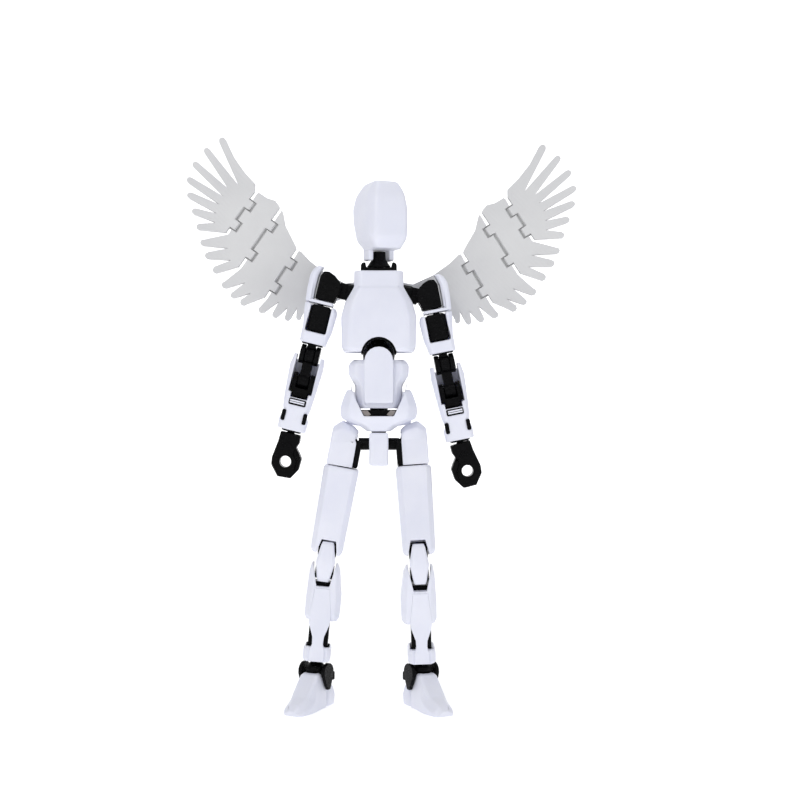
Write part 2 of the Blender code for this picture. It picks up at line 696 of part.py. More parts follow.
def add_shin(side, sign):
    calf = [
        section(-12.2, -4.4, 3.5, -4.2, 3.6, 1.0), section(-11.0, -5.0, 4.1, -4.6, 4.2, 1.3),
        section(-6.0, -5.0, 4.1, -4.8, 4.4, 1.4), section(0.6, -4.1, 3.8, -4.4, 3.4, 1.2),
        section(2.4, -3.4, 3.4, -3.6, 1.8, 0.8),
    ]
    # The band down the front, from under the kneecap to the cuff
    half = [
        (1.9, -3.9), (2.4, -8.0), (2.8, -11.5), (2.6, -13.2), (1.5, -16.4), (1.4, -18.4),
        (1.9, -19.8), (1.9, -22.7),
    ]
    shaft = [(-x, z) for x, z in half] + half[::-1]
    notch = [(-3.1, 4.0), (3.1, 4.0), (3.0, 2.4), (1.7, -3.4), (-1.7, -3.4), (-3.0, 2.4)]
    cuff = loft([
        section(-23.1, -3.2, 3.2, -3.8, 3.3, 0.9), section(-22.4, -3.6, 3.6, -4.2, 3.6, 1.0),
        section(-19.9, -3.6, 3.6, -4.2, 3.6, 1.0), section(-19.2, -3.2, 3.2, -4.2, 3.3, 0.9),
    ])
    add_node(
        f"shin_armor_{side}", f"shin_{side}", "armor", loft(calf),
        add=(prism(shaft, -4.95, -3.0), cuff),
        cut=(
            box(-2.9, 2.9, -2.9, 6.0, -19.1, 4.0),
            box(-2.9, 2.9, -2.8, 2.6, -24.0, -18.0),
            prism(notch, -8.0, -2.0),
        ),
        side=sign,
    )
    add_node(
        f"shin_frame_{side}", f"shin_{side}", "frame",
        box(-2.6, 2.6, -2.5, 2.2, -22.6, -2.4),
        add=(
            rod("Z", 1.45, -25.0, -22.0, sides=12),
            ball(2.2, (0, 0, -SHIN_LENGTH), 12, 8),
        ),
        side=sign,
    )


def add_foot(side, sign):
    petal = arc((0.2, -0.5), 2.5, -30, 210, 10) + [(-0.2, -5.0), (0.8, -5.0)]
    ears = [prism(petal, x0, x1, "X") for x0, x1 in ((3.0, 4.0), (-4.0, -3.0))]
    add_node(
        f"ankle_bracket_{side}", f"ankle_{side}", "frame",
        box(-3.9, 3.9, 2.6, 3.6, -2.9, -0.6, 0.25),
        add=(
            box(3.1, 3.8, 0.5, 3.2, -2.6, -0.9), box(-3.8, -3.1, 0.5, 3.2, -2.6, -0.9),
            ears[0], ears[1],
        ),
        side=sign,
    )
    sole = -FOOT_DEPTH
    shell = [
        # from the toe back to the ankle: y, half-width at the sole and at the top, top height
        (-12.2, 2.0, 1.4, sole + 1.4), (-11.0, 3.0, 2.0, sole + 2.6), (-8.0, 3.5, 2.5, sole + 4.0),
        (-5.0, 3.3, 2.7, -2.6), (-3.2, 3.0, 2.6, -0.5), (-1.4, 2.8, 2.6, -0.5),
        (0.8, 2.8, 2.6, -2.0),
    ]
    rows = []
    for y, low, high, top in shell:
        middle = sole + 0.45 * (top - sole)
        rows.append([
            (-low, y, sole), (low, y, sole), (low, y, middle), (high, y, top - 0.5),
            (high - 0.7, y, top), (0.7 - high, y, top), (-high, y, top - 0.5), (-low, y, middle),
        ])
    add_node(
        f"foot_shell_{side}", f"foot_{side}", "armor", loft(rows),
        cut=(ball(2.6, (0, 0, 0), 12, 8),),
        side=sign,
    )
    heel = [
        section(sole, -2.6, 2.6, 1.1, 6.3, 1.0), section(sole + 2.6, -2.8, 2.8, 1.1, 6.6, 1.1),
        section(sole + 4.8, -2.5, 2.5, 1.1, 6.0, 1.0), section(sole + 5.7, -2.0, 2.0, 1.1, 5.0, 0.8),
    ]
    add_node(f"heel_{side}", f"foot_{side}", "armor", loft(heel), side=sign)


# ---------------------------------------------------------------- wings

# Outline points are (outward, up) from the middle of the shoulders. A feather is the
# middle of its tip; the notch after it is where it parts from the next feather.
WING_HINGES = {
    "d": ((21.7, 11.5), (29.7, -1.7)),
    "c": ((26.4, 22.3), (36.8, 6.3)),
    "b": ((33.1, 26.5), (40.4, 15.4)),
}
WING_SEGMENTS = {
    "a": {
        "leading": [(40.7, 39.6), (38.9, 35.9), (36.0, 31.9), (33.2, 28.9)],
        "feathers": [
            ((48.3, 16.7), 0.9), ((49.6, 21.3), 0.9), ((50.9, 25.7), 0.9), ((51.1, 29.9), 0.9),
            ((49.6, 34.2), 0.9), ((46.6, 38.1), 0.9), ((42.4, 41.1), 1.0),
        ],
        "notches": [
            (43.4, 18.2), (43.2, 20.7), (42.6, 23.2), (41.6, 25.4), (40.5, 27.7), (37.7, 28.6),
        ],
    },
    "b": {
        "leading": [(32.2, 26.6), (29.9, 25.1), (27.8, 24.5), (26.7, 23.1)],
        "feathers": [((43.6, 5.0), 1.0), ((45.9, 9.2), 1.0), ((47.2, 12.9), 0.9)],
        "notches": [(39.1, 8.2), (39.9, 11.4)],
    },
    "c": {
        "leading": [(25.7, 21.4), (25.0, 17.9), (22.1, 12.4)],
        "feathers": [((36.0, -3.7), 1.0), ((38.8, -1.6), 0.9), ((41.3, 1.4), 1.0)],
        "notches": [(33.6, -0.5), (35.2, 2.3)],
    },
    "d": {
        "leading": [(20.6, 10.9), (18.3, 8.5), (14.3, 5.4), (8.9, 2.7)],
        "feathers": [
            ((20.8, -7.4), 0.7), ((24.1, -7.6), 0.8), ((27.5, -6.8), 0.9), ((31.4, -5.3), 1.0),
        ],
        "notches": [(21.4, -4.2), (23.9, -4.1), (26.2, -2.6)],
    },
}
WING_ROOT_OUTLINE = [(2.75, 3.6), (2.75, -0.6), (9.0, -1.2), (15.0, -3.6), (19.6, -5.4)]


def spot(point):
    """An outline point on the plate as it is made."""
    return Vector((point[0] * WING_SPREAD, point[1]))


def hinge_axes(letter):
    """Top, direction down the hinge, direction toward the body, and length of a hinge."""
    top, low = (spot(point) for point in WING_HINGES[letter])
    along = (low - top).normalized()
    return top, along, Vector((along.y, -along.x)), (low - top).length


def hinge_edge(letter, outer):
    """The hinge edge from the top down, as (point, way the faces recede) pairs.

    The outer plate carries two tabs that reach inward past the hinge line; the inner
    plate has the notches for them.
    """
    top, along, inward, length = hinge_axes(letter)
    first, second = 0.27 * length, 0.76 * length
    if outer:
        relief, edge, wide = -EDGE_RELIEF, -0.15, -0.3
        reach, half = HINGE_OVERHANG + 0.5, TAB_HALF
    else:
        relief, edge, wide = EDGE_RELIEF, 0.15, 0.5
        reach, half = HINGE_OVERHANG + 0.5 + GAP, TAB_HALF + GAP
    steps = [
        # distance down the hinge, distance inward, how much the faces recede
        (0.0, wide, 0.0), (first - half - 0.2, wide, 0.3 * relief),
        (first - half, wide, 0.0), (first - half, reach, relief),
        (first + half, reach, relief), (first + half, edge, 0.0),
        (first + half + 0.1, edge, relief), (second - half - 0.1, edge, relief),
        (second - half, edge, 0.0), (second - half, reach, relief),
        (second + half, reach, relief), (second + half, wide, 0.0),
        (length, wide, 0.0),
    ]
    return [
        (top + along * down + inward * across, inward * recede)
        for down, across, recede in steps
    ]


def feather_points(segment):
    """The trailing edge: each feather's rounded tip, then the notch that follows it."""
    points = []
    notches = [spot(notch) for notch in segment["notches"]]
    tips = [spot(tip) for tip, _ in segment["feathers"]]
    last = len(tips) - 1
    for number, (_, half) in enumerate(segment["feathers"]):
        centre = tips[number]
        near = notches[max(number - 1, 0):number + 1]
        root = sum(near, Vector((0.0, 0.0))) / len(near)
        out = (centre - root).normalized()
        sideways = Vector((-out.y, out.x))
        ahead = tips[number + 1] - centre if number < last else centre - tips[number - 1]
        if ahead.dot(sideways) < 0:
            sideways = -sideways
        for across, along in ((-1.0, -1.0), (-0.7, -0.2), (0.0, 0.1), (0.7, -0.2), (1.0, -1.0)):
            points.append(centre + sideways * (across * half) + out * (along * half))
        if number < last:
            points.append(notches[number])
    return points


def still(points):
    """Points at which the plate is as wide on its faces as in its middle."""
    return [(point, Vector((0.0, 0.0))) for point in points]


def wing_outline(letter):
    """(point, way the faces recede) pairs round one plate."""
    segment = WING_SEGMENTS[letter]
    trailing = still(feather_points(segment))
    leading = still([spot(point) for point in segment["leading"]])
    if letter == "a":
        return hinge_edge("b", True) + trailing + leading
    outline = hinge_edge(letter, False) + trailing[::-1]
    if letter == "d":
        outline += still([spot(point) for point in WING_ROOT_OUTLINE[:1:-1]])
        outline += [(spot(point), Vector((0.45, 0.0))) for point in WING_ROOT_OUTLINE[1::-1]]
    else:
        inner = {"c": "d", "b": "c"}[letter]
        outline += hinge_edge(inner, True)[::-1]
    return outline + leading[::-1]


def add_wing_frames(side, sign):
    parent = f"wing_root_{side}"
    add_frame(
        parent, "chest",
        (sign * WING_ROOT_SPACING, WING_PLANE, WING_JOINT_HEIGHT - WAIST_BEND_HEIGHT),
        turn("Y", WINGS_ROLL),
    )
    here = Vector((WING_ROOT_SPACING, 0.0))
    for letter in ("d", "c", "b"):
        top, along, inward, length = hinge_axes(letter)
        middle = top + along * (length / 2) + inward * (HINGE_OVERHANG / 2)
        step = middle - here
        name = f"wing_fold_{letter}_{side}"
        add_frame(name, parent, (sign * step.x, 0, step.y))
        here = middle
        parent = name


def add_wing(side, sign):
    frames = {"d": "wing_root", "c": "wing_fold_d", "b": "wing_fold_c", "a": "wing_fold_b"}
    half = WING_THICKNESS / 2
    for letter, frame in frames.items():
        name = f"{frame}_{side}"
        origin = WORLD[f"wing_root_{side}"].inverted() @ WORLD[name].translation
        shift = Vector((sign * origin.x / MM + WING_ROOT_SPACING, origin.z / MM))
        rows = []
        for y, relief in ((-half, 1.0), (0.0, 0.0), (half, 1.0)):
            flat = [point + recede * relief - shift for point, recede in wing_outline(letter)]
            rows.append([(corner.x, y, corner.y) for corner in flat])
        add_node(f"wing_segment_{letter}_{side}", name, "wing", loft(rows), side=sign)


# ---------------------------------------------------------------- build

FRAMES = {}
WORLD = {}
clear_scene()
FIGURE = new_collection("humanoid_robot_kit")
TOOLS = new_collection("cutters")
FOOT_DEPTH = HIP_HEIGHT + SOLE_DEPTH - leg_drop("right", 0.0)

add_frames()
add_pelvis()
add_abdomen()
add_chest()
add_head()
for SIDE, SIGN in SIDES.items():
    add_arm(SIDE, SIGN)
    add_leg(SIDE, SIGN)
    add_wing(SIDE, SIGN)
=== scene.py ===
"""The humanoid robot kit as it is seen: rounded shells, fine details, finishes, light, camera."""
import json
import math

import bmesh
import bpy
from mathutils import Matrix, Vector


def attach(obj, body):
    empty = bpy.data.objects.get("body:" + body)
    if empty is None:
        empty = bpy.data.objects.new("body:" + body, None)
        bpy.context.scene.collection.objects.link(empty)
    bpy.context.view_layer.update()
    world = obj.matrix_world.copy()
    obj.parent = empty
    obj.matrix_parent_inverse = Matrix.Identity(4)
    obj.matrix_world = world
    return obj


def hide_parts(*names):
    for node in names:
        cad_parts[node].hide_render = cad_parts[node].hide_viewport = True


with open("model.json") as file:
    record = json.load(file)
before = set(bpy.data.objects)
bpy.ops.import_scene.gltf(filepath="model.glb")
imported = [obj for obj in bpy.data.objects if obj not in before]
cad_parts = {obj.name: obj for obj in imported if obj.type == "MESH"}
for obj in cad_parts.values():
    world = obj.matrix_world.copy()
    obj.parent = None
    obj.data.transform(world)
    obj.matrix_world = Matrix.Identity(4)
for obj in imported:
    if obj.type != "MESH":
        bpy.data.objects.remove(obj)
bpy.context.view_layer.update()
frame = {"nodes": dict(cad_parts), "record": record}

MM = 0.001
SIDES = {"right": -1, "left": 1}
SHELLS = bpy.data.collections.new("shells_and_details")
bpy.context.scene.collection.children.link(SHELLS)
BEHAVIOUR = frame["record"]["behaviour"]
BODY_OF = {node: body for body, nodes in BEHAVIOUR["bodies"].items() for node in nodes}
SLOT_OF = {row["node"]: row["material_slot"] for row in frame["record"]["subparts"]}
JOINTS = {joint["name"]: joint for joint in BEHAVIOUR["joints"]}


# ---------------------------------------------------------------- materials

# A wave texture's scale, times the distance between its bands
WAVE_PITCH = 0.157
# The part of a noise's range in which nearly all of its values lie
NOISE_RANGE = (0.3, 0.7)
WHITE_LAYER = 0.00024
BLACK_LAYER = 0.00022
WING_LAYER = 0.00035


class Paint:
    """A Principled material and short ways to wire procedural detail into it."""

    def __init__(self, name, color, roughness):
        self.material = bpy.data.materials.new(name)
        self.material.use_nodes = True
        self.tree = self.material.node_tree
        self.shader = self.tree.nodes["Principled BSDF"]
        self.shader.inputs["Base Color"].default_value = color
        self.shader.inputs["Roughness"].default_value = roughness
        self.place = self.tree.nodes.new("ShaderNodeTexCoord").outputs["Object"]

    def node(self, kind, **settings):
        made = self.tree.nodes.new(kind)
        for key, value in settings.items():
            setattr(made, key, value)
        return made

    def link(self, start, end):
        self.tree.links.new(start, end)

    def noise(self, scale, detail=3.0, stretch=(1.0, 1.0, 1.0)):
        mapping = self.node("ShaderNodeMapping")
        mapping.inputs["Scale"].default_value = stretch
        self.link(self.place, mapping.inputs["Vector"])
        texture = self.node("ShaderNodeTexNoise")
        texture.inputs["Scale"].default_value = scale
        texture.inputs["Detail"].default_value = detail
        self.link(mapping.outputs["Vector"], texture.inputs["Vector"])
        return texture.outputs["Fac"]

    def layers(self, axis, pitch, distortion=0.6):
        """Fine lines a pitch apart, as a printed part's layers leave them."""
        wave = self.node("ShaderNodeTexWave", wave_type="BANDS", bands_direction=axis)
        wave.inputs["Scale"].default_value = WAVE_PITCH / pitch
        wave.inputs["Distortion"].default_value = distortion
        wave.inputs["Detail"].default_value = 1.0
        wave.inputs["Detail Scale"].default_value = 120.0
        self.link(self.place, wave.inputs["Vector"])
        return wave.outputs["Fac"]

    def spread(self, value, low=0.0, high=1.0):
        """A noise stretched over the whole range from low to high."""
        ramp = self.node("ShaderNodeMapRange")
        ramp.inputs["From Min"].default_value = NOISE_RANGE[0]
        ramp.inputs["From Max"].default_value = NOISE_RANGE[1]
        ramp.inputs["To Min"].default_value = low
        ramp.inputs["To Max"].default_value = high
        self.link(value, ramp.inputs["Value"])
        return ramp.outputs["Result"]

    def tint(self, value, first, second):
        """The base colour, mixed from two colours by a value."""
        mix = self.node("ShaderNodeMix", data_type="RGBA")
        mix.inputs["A"].default_value = first
        mix.inputs["B"].default_value = second
        self.link(value, mix.inputs["Factor"])
        self.link(mix.outputs["Result"], self.shader.inputs["Base Color"])

    def bump(self, value, strength, distance, below=None):
        bump = self.node("ShaderNodeBump")
        bump.inputs["Strength"].default_value = strength
        bump.inputs["Distance"].default_value = distance
        self.link(value, bump.inputs["Height"])
        if below:
            self.link(below, bump.inputs["Normal"])
        return bump.outputs["Normal"]


def white_plastic(name, layer_axis, line_strength):
    """Satin white print with a cool cast, cloudy where the layers fused unevenly."""
    paint = Paint(name, (0.80, 0.81, 0.90, 1.0), 0.34)
    clouds = paint.noise(90.0, 4.0)
    grain = paint.noise(1600.0, 2.0)
    lines = paint.layers(layer_axis, WHITE_LAYER)
    paint.tint(paint.spread(clouds), (0.77, 0.785, 0.885, 1.0), (0.83, 0.84, 0.925, 1.0))
    paint.link(paint.spread(grain, 0.30, 0.44), paint.shader.inputs["Roughness"])
    soft = paint.bump(clouds, 0.25, 0.0002)
    ridged = paint.bump(lines, line_strength, 0.00003, soft)
    paint.link(ridged, paint.shader.inputs["Normal"])
    paint.shader.inputs["Subsurface Weight"].default_value = 0.08
    paint.shader.inputs["Subsurface Radius"].default_value = (0.0010, 0.0010, 0.0012)
    paint.shader.inputs["Subsurface Scale"].default_value = 1.0
    paint.shader.inputs["Coat Weight"].default_value = 0.12
    paint.shader.inputs["Coat Roughness"].default_value = 0.25
    return paint.material


def black_plastic(name, layer_axis):
    """Deep black print, with layer lines and scuffs that catch a little light."""
    paint = Paint(name, (0.010, 0.010, 0.011, 1.0), 0.28)
    clouds = paint.noise(260.0, 5.0)
    scuffs = paint.noise(900.0, 3.0, (1.0, 1.0, 4.0))
    lines = paint.layers(layer_axis, BLACK_LAYER, 1.4)
    paint.tint(paint.spread(scuffs), (0.0012, 0.0012, 0.0014, 1.0), (0.004, 0.004, 0.0045, 1.0))
    paint.link(paint.spread(clouds, 0.16, 0.34), paint.shader.inputs["Roughness"])
    soft = paint.bump(clouds, 0.35, 0.00012)
    ridged = paint.bump(lines, 0.55, 0.00005, soft)
    paint.link(ridged, paint.shader.inputs["Normal"])
    paint.shader.inputs["Specular IOR Level"].default_value = 0.07
    return paint.material


def wing_plastic(name, shade=1.0):
    """Thin pale grey print: a matte sheet with the fine raster of its first layer; a shade below 1
    makes a darker copy, painted shade.
    """
    paint = Paint(name, (0.66 * shade, 0.66 * shade, 0.665 * shade, 1.0), 0.6)
    clouds = paint.noise(70.0, 4.0)
    grain = paint.noise(1500.0, 2.0)
    lines = paint.layers("DIAGONAL", WING_LAYER)
    tones = ((0.63, 0.63, 0.635), (0.69, 0.69, 0.69))
    dark, light = ((*[value * shade for value in tone], 1.0) for tone in tones)
    paint.tint(paint.spread(clouds), dark, light)
    paint.link(paint.spread(grain, 0.50, 0.68), paint.shader.inputs["Roughness"])
    paint.link(paint.bump(lines, 0.30, 0.00003), paint.shader.inputs["Normal"])
    return paint.material


def painted_highlight_plastic(name):
    """Dull, slightly brown print: painted highlights on the black joint inside the pelvis."""
    paint = Paint(name, (0.32, 0.28, 0.25, 1.0), 0.6)
    clouds = paint.noise(500.0, 4.0)
    paint.tint(paint.spread(clouds), (0.22, 0.185, 0.165, 1.0), (0.42, 0.38, 0.35, 1.0))
    paint.link(paint.spread(clouds, 0.5, 0.7), paint.shader.inputs["Roughness"])
    paint.link(paint.bump(clouds, 0.4, 0.0001), paint.shader.inputs["Normal"])
    return paint.material


WHITE_UPRIGHT = white_plastic("white_plastic_upright", "X", 0.45)
WHITE_SMOOTH = white_plastic("white_plastic_smooth", "Z", 0.22)
BLACK = black_plastic("black_plastic", "Z")
WING = wing_plastic("pale_grey_plastic")
# Brown-grey: painted highlight on the black joint inside the pelvis
PAINTED_HIGHLIGHT = painted_highlight_plastic("painted_highlight_plastic")
# A darker copy of the wing grey: painted shade for the hinge lines between the wing plates
PAINTED_SHADE_GREY = wing_plastic("painted_shade_grey_plastic", 0.6)


# Shells that were printed standing, so that their layer lines run along them
UPRIGHT_SHELLS = ("forearm", "bicep", "shin", "thigh", "abdomen", "kneecap")


def finish_of(node):
    slot = SLOT_OF[node]
    if slot == "wing":
        return WING
    if slot == "frame":
        return BLACK
    return WHITE_UPRIGHT if node.startswith(UPRIGHT_SHELLS) else WHITE_SMOOTH


# ---------------------------------------------------------------- rounded shells

WELD_DISTANCE = 2e-6
FLAT_ANGLE = 1.2
# How much of the room beside an edge its rounding may take up, and how room is counted
# along the edge itself and toward a neighbour that is rounded too
ROUND_SHARE = 0.42
LENGTH_SHARE = 1.2
SHARED_ROOM = 0.9
# The least angle, in degrees, of an edge that is rounded, and the same for a piece of facets
EDGE_ANGLE = 16.0
FACET_EDGE_ANGLE = 30.0
SHADING_WEIGHT = 80


def welded(mesh):
    """The node's solid with its corners joined, as a Boolean needs it."""
    shape = bmesh.new()
    shape.from_mesh(mesh)
    bmesh.ops.remove_doubles(shape, verts=shape.verts, dist=WELD_DISTANCE)
    return shape


def cleaned(mesh):
    """The node's solid with its flat faces whole again."""
    shape = welded(mesh)
    bmesh.ops.dissolve_limit(
        shape, angle_limit=math.radians(FLAT_ANGLE), verts=shape.verts, edges=shape.edges,
        use_dissolve_boundaries=False,
    )
    return shape


def weigh_edges(shape, width, least_angle):
    """Marks each edge with the share of the width that its neighbours leave room for."""
    layer = shape.edges.layers.float.new("bevel_weight_edge")
    sharp = {
        edge for edge in shape.edges
        if len(edge.link_faces) == 2 and edge.calc_face_angle(0.0) > math.radians(least_angle)
    }
    for edge in sharp:
        room = edge.calc_length() * LENGTH_SHARE
        for vert in edge.verts:
            for other in vert.link_edges:
                if other is not edge and any(face in other.link_faces for face in edge.link_faces):
                    across = other.other_vert(vert).co - vert.co
                    along = (edge.other_vert(vert).co - vert.co).normalized()
                    reach = (across - along * across.dot(along)).length
                    room = min(room, reach if other not in sharp else reach * SHARED_ROOM)
        edge[layer] = max(0.0, min(1.0, ROUND_SHARE * room / width))


def solid(name, shape):
    """A helper object for a Boolean, gone again once the piece is cut."""
    bmesh.ops.recalc_face_normals(shape, faces=shape.faces)
    mesh = bpy.data.meshes.new(name)
    shape.to_mesh(mesh)
    shape.free()
    helper = bpy.data.objects.new(name, mesh)
    SHELLS.objects.link(helper)
    return helper


def carved(shape, add, cut):
    """The shape joined with the added solids and less the cut ones."""
    base = solid("base", shape)
    helpers = [base]
    steps = [("UNION", tool) for tool in add] + [("DIFFERENCE", tool) for tool in cut]
    for operation, tool in steps:
        helper = solid("tool", tool)
        helpers.append(helper)
        modifier = base.modifiers.new(operation, "BOOLEAN")
        modifier.operation = operation
        modifier.solver = "EXACT"
        modifier.object = helper
    graph = bpy.context.evaluated_depsgraph_get()
    mesh = bpy.data.meshes.new_from_object(base.evaluated_get(graph))
    result = cleaned(mesh)
    bpy.data.meshes.remove(mesh)
    for helper in helpers:
        used = helper.data
        bpy.data.objects.remove(helper, do_unlink=True)
        bpy.data.meshes.remove(used)
    return result


def finished(name, shape, width, material, body, least_angle=EDGE_ANGLE, segments=3):
    """A piece with rounded edges that rides on a body."""
    bmesh.ops.recalc_face_normals(shape, faces=shape.faces)
    weigh_edges(shape, width * MM, least_angle)
    mesh = bpy.data.meshes.new(name)
    shape.to_mesh(mesh)
    shape.free()
    piece = bpy.data.objects.new(name, mesh)
    SHELLS.objects.link(piece)
    mesh.shade_smooth()
    bevel = piece.modifiers.new("round_edges", "BEVEL")
    bevel.limit_method = "WEIGHT"
    bevel.width = width * MM
    bevel.segments = segments
    bevel.use_clamp_overlap = False
    bevel.miter_outer = "MITER_ARC"
    weighted = piece.modifiers.new("even_shading", "WEIGHTED_NORMAL")
    weighted.weight = SHADING_WEIGHT
    mesh.materials.append(material)
    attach(piece, body)
    return piece


def black_round(name, shape, width, body):
    """A round black piece of many narrow facets, of which only the true edges are rounded."""
    return finished(name, shape, width, BLACK, body, FACET_EDGE_ANGLE, 2)


def rounded(node, width, add=(), cut=(), reshape=None):
    """A piece in the node's place, reshaped, carved and with its edges rounded."""
    if add or cut:
        shape = carved(welded(frame["nodes"][node].data), add, cut)
    else:
        shape = cleaned(frame["nodes"][node].data)
    if reshape:
        reshape(shape)
    piece = finished(
        f"{node}_rounded", shape, width, finish_of(node), BODY_OF[node],
    )
    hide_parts(node)


# ---------------------------------------------------------------- frames and shapes

def joint_frame(joint):
    """Millimetres to world at a joint, upright."""
    return Matrix.Translation(JOINTS[joint]["pos_m"]) @ Matrix.Scale(MM, 4)


def limb_frame(joint, sign):
    """Millimetres to world at a joint of an arm: X outward, Y back, Z up along the limb."""
    hinge = Vector(JOINTS[joint]["axis"])
    outward = hinge if hinge.x * sign > 0 else -hinge
    back = Vector((0.0, 1.0, 0.0))
    up = outward.cross(back) * sign
    axes = Matrix((outward, back, up)).transposed().to_4x4()
    return Matrix.Translation(JOINTS[joint]["pos_m"]) @ axes @ Matrix.Scale(MM, 4)


def skin(shape, rows):
    """Joins rows of points, one after another, into a solid with flat ends."""
    sides = len(rows[0])
    for low, high in zip(rows, rows[1:]):
        for index in range(sides):
            after = (index + 1) % sides
            shape.faces.new((low[index], low[after], high[after], high[index]))
    shape.faces.new(rows[0])
    shape.faces.new(rows[-1])
    return shape


def slab(place, outline, y0, y1):
    """An outline of (across, height) points, given thickness from y0 to y1."""
    shape = bmesh.new()
    rows = [[shape.verts.new(place @ Vector((x, y, z))) for x, z in outline] for y in (y0, y1)]
    return skin(shape, rows)


def turned(place, profile, sides=32):
    """A profile of (radius, height) points turned about the local Z axis."""
    shape = bmesh.new()
    angles = [math.tau * step / sides for step in range(sides)]
    rows = []
    for radius, height in profile:
        rows.append([
            shape.verts.new(place @ Vector((radius * math.cos(a), radius * math.sin(a), height)))
            for a in angles
        ])
    return skin(shape, rows)


def arc(centre, radius, degrees):
    """Points round a centre, one at each of the angles."""
    angles = [math.radians(a) for a in degrees]
    return [(centre[0] + radius * math.cos(a), centre[1] + radius * math.sin(a)) for a in angles]


def pill(x0, x1, z0, z1, corner=0.35, steps=3):
    """A rectangle with round corners."""
    corners = (
        (x1 - corner, z1 - corner, 0), (x0 + corner, z1 - corner, 90),
        (x0 + corner, z0 + corner, 180), (x1 - corner, z0 + corner, 270),
    )
    points = []
    for x, z, start in corners:
        points += arc((x, z), corner, [start + 90 * step / steps for step in range(steps + 1)])
    return points


# ---------------------------------------------------------------- hands

PALM_FRONT = 2.3
GRIP = (-0.5, -6.8)
RIM_RADIUS = 1.95
RIM_DEPTH = 0.25
RELIEF = 0.3
FINGER_PITCH = 1.15
GROOVE_HALF = 0.14


def finger_grooves(place):
    """Three grooves round the curled fingers, between the four of them."""
    outside = [
        (-8.0, -3.4), (-8.0, -13.0), (1.4, -13.0), (0.6, -10.35), (-2.5, -10.2), (-3.75, -8.0),
        (-3.85, -5.4), (-2.95, -3.9),
    ]
    middles = (-FINGER_PITCH, 0.0, FINGER_PITCH)
    return [slab(place, outside, y - GROOVE_HALF, y + GROOVE_HALF) for y in middles]


def grip_rim(place):
    """A shallow step round the mouth of the grip hole."""
    ring = arc(GRIP, RIM_RADIUS, range(0, 360, 15))
    return slab(place, ring, -PALM_FRONT - 1.0, -PALM_FRONT + RIM_DEPTH)


def chevron(place):
    """A raised peak on the back of the hand."""
    peak = [(-1.7, -3.1), (-0.2, -1.5), (1.5, -3.0), (1.0, -3.3), (-0.2, -2.2), (-1.25, -3.4)]
    return slab(place, peak, -PALM_FRONT - RELIEF, -PALM_FRONT + RELIEF)


def cheek_line(place):
    """The slanted cut that parts the thumb from the fingers."""
    line = [
        (-2.7, -3.0), (-2.45, -2.9), (-1.7, -4.1), (-3.2, -6.4), (-3.2, -8.6), (-3.5, -8.6),
        (-3.5, -6.3), (-2.05, -4.1),
    ]
    return slab(place, line, -PALM_FRONT - 1.0, -PALM_FRONT + RELIEF)


def add_hand(side, sign):
    place = limb_frame(f"wrist_bend_{side}", sign)
    rounded(
        f"hand_{side}", 0.28, add=[chevron(place)],
        cut=finger_grooves(place) + [grip_rim(place), cheek_line(place)],
    )


def add_wrist_collar(side, sign):
    """The collar that closes the space between the cuff and the hand."""
    lower = limb_frame(f"elbow_lower_{side}", sign)
    profile = [
        (1.0, -12.9), (2.1, -12.9), (2.15, -13.26), (2.65, -13.3), (2.65, -13.5), (2.3, -13.7),
    ]
    black_round(f"wrist_collar_{side}", turned(lower, profile), 0.05, f"wrist_{side}")


# ---------------------------------------------------------------- forearms and elbows

CUFF_SLOTS = {"outer": (2.3, 3.35), "inner": (-3.35, -2.3)}
WINDOW_BARS = ((-6.15, -5.8), (-5.65, -5.25))
KNUCKLE_CHAMFER = 0.2


def add_forearm_details(side, sign):
    """The black core that shows through the cuff's two slots and the window above them."""
    place = limb_frame(f"elbow_lower_{side}", sign)
    body = f"forearm_{side}"
    for which, (x0, x1) in CUFF_SLOTS.items():
        core = slab(place, pill(x0, x1, -11.1, -8.2), -3.66, -2.4)
        finished(f"forearm_slot_{which}_{side}", core, 0.12, BLACK, body)
    window = slab(place, pill(-2.25, 2.25, -6.6, -4.9, 0.3), -3.86, -3.0)
    finished(f"forearm_window_{side}", window, 0.12, BLACK, body)
    for number, (low, high) in enumerate(WINDOW_BARS):
        bar = slab(place, pill(-1.85, 2.0, low, high, 0.12), -4.02, -3.7)
        finished(f"forearm_window_bar_{number}_{side}", bar, 0.08, WHITE_SMOOTH, body)


def barrel(place, radius, half_length):
    """A round hinge knuckle along the limb's X axis, with chamfered ends."""
    sideways = place @ Matrix.Rotation(math.radians(90.0), 4, "Y")
    edge, shoulder = radius - KNUCKLE_CHAMFER, half_length - KNUCKLE_CHAMFER
    profile = [(edge, -half_length), (radius, -shoulder), (radius, shoulder), (edge, half_length)]
    return turned(sideways, profile)


def add_elbow_details(side, sign):
    """The knuckles that fill the elbow's two forks, and the pad that the upper one meets."""
    upper = limb_frame(f"elbow_upper_{side}", sign)
    lower = limb_frame(f"elbow_lower_{side}", sign)
    high, low = barrel(upper, 2.35, 1.25), barrel(lower, 1.9, 1.55)
    black_round(f"elbow_upper_knuckle_{side}", high, 0.05, f"bicep_{side}")
    black_round(f"elbow_lower_knuckle_{side}", low, 0.05, f"elbow_{side}")
    pad = slab(upper, pill(-2.75, 2.7, 2.64, 3.3, 0.15), -2.5, 2.3)
    finished(f"bicep_pad_{side}", pad, 0.1, BLACK, f"bicep_{side}")


# ---------------------------------------------------------------- pelvis

PELVIS_LIP = ((5.85, 2.6), (6.4, 5.1), (7.3, 5.1), (6.4, 2.6))
# Outline of the brown-grey patches that are painted highlights on the black joint in the pelvis
PELVIS_HIGHLIGHT = ((2.0, -0.9), (2.9, -1.5), (3.9, -1.0), (4.5, 0.1), (3.0, 0.2))


